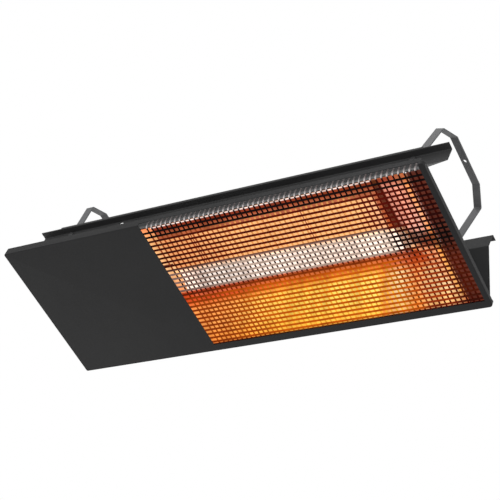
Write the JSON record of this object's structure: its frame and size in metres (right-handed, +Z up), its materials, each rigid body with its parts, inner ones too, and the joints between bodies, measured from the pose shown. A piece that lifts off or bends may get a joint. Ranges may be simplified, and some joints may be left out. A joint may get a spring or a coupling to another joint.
{
  "type": "overhead gas patio heater",
  "caption": "Long overhead gas heater: folded hood on hinged strap hangers, plain control panel, and a wire grille over glowing ceramic burner tiles and polished reflectors.",
  "frame": {"origin": "centre of the hole in the top of the left hanger strap, at mid thickness", "axes": "+X along the body from the control end towards the grille end, +Z up, -Y the front long side"},
  "size_m": [1.093, 0.396, 0.2829],
  "materials": {
    "powder_coat": "matte textured charcoal powder coat",
    "grille_black": "matte black heat-resistant paint",
    "strap_grey": "satin dark grey paint",
    "polished_reflector": "polished",
    "galvanised": "galvanised sheet",
    "plenum_steel": "aluminised steel",
    "glowing_tile": "matte perforated ceramic, glowing",
    "gasket_fibre": "ceramic fibre felt",
    "brass": "machined",
    "valve_casting": "die cast",
    "gas_pipe": "drawn tube",
    "zinc_fastener": "zinc plated",
    "black_fastener": "painted over",
    "black_plastic": "moulded",
    "beige_plastic": "moulded",
    "knob_red": "moulded",
    "laminated_iron": "varnished laminations",
    "porcelain": "glazed",
    "heat_rod": "heat-stained"
  },
  "bodies": {
    "heater": {"lower_cover": "powder_coat", "grille_long_wires": "grille_black", "grille_short_wires": "grille_black", "hood_wall_rear": "powder_coat", "hood_wall_front": "powder_coat", "end_cap": "powder_coat", "compartment_partition": "galvanised", "compartment_lid": "galvanised", "end_gusset_rear": "powder_coat", "end_gusset_front": "powder_coat", "end_screws": "zinc_fastener", "hood_rivets": "black_fastener", "end_apron": "powder_coat", "tile_gasket": "gasket_fibre", "burner_plenum": "plenum_steel", "gas_diffuser": "plenum_steel", "tile_retaining_frame": "polished_reflector", "frame_screws": "zinc_fastener", "side_reflector_rear": "polished_reflector", "side_reflector_front": "polished_reflector", "end_reflector_right": "polished_reflector", "end_reflector_left": "polished_reflector", "burner_bracket_left": "galvanised", "burner_bracket_right": "galvanised", "mixing_tube": "plenum_steel", "gas_jet": "brass", "manifold_pipe": "gas_pipe", "gas_valve": "valve_casting", "valve_bracket": "galvanised", "inlet_nipple": "brass", "inlet_coupling": "brass", "ignition_module": "black_plastic", "transformer": "laminated_iron", "terminal_block": "beige_plastic", "cable_gland": "black_plastic", "igniter_insulator": "porcelain", "igniter_rod": "heat_rod", "flame_sensor_insulator": "porcelain", "flame_sensor_rod": "heat_rod", "ceramic_tile_1": "glowing_tile", "ceramic_tile_2": "glowing_tile", "ceramic_tile_3": "glowing_tile", "ceramic_tile_4": "glowing_tile", "ceramic_tile_5": "glowing_tile", "ceramic_tile_6": "glowing_tile", "pivot_bolts_left": "zinc_fastener", "pivot_nuts_left": "zinc_fastener", "pivot_washers_left": "zinc_fastener", "pivot_bolts_right": "zinc_fastener", "pivot_nuts_right": "zinc_fastener", "pivot_washers_right": "zinc_fastener"},
    "hanger_left": {"hanger_left": "strap_grey"},
    "hanger_right": {"hanger_right": "strap_grey"},
    "valve_knob": {"valve_knob": "knob_red"}
  },
  "joints": [
    {"name": "hanger_left_pivot", "type": "hinge", "parent": "heater", "child": "hanger_left", "pos_m": [0, 0, -0.1441], "axis": [0, 1, 0], "range_deg": [-85, 52]},
    {"name": "hanger_right_pivot", "type": "hinge", "parent": "heater", "child": "hanger_right", "pos_m": [0.9152, 0, -0.1441], "axis": [0, 1, 0], "range_deg": [-70, 66]},
    {"name": "valve_knob_turn", "type": "hinge", "parent": "heater", "child": "valve_knob", "pos_m": [0.0266, 0, -0.2102], "axis": [0, 0, 1], "range_deg": [0, 90]}
  ]
}
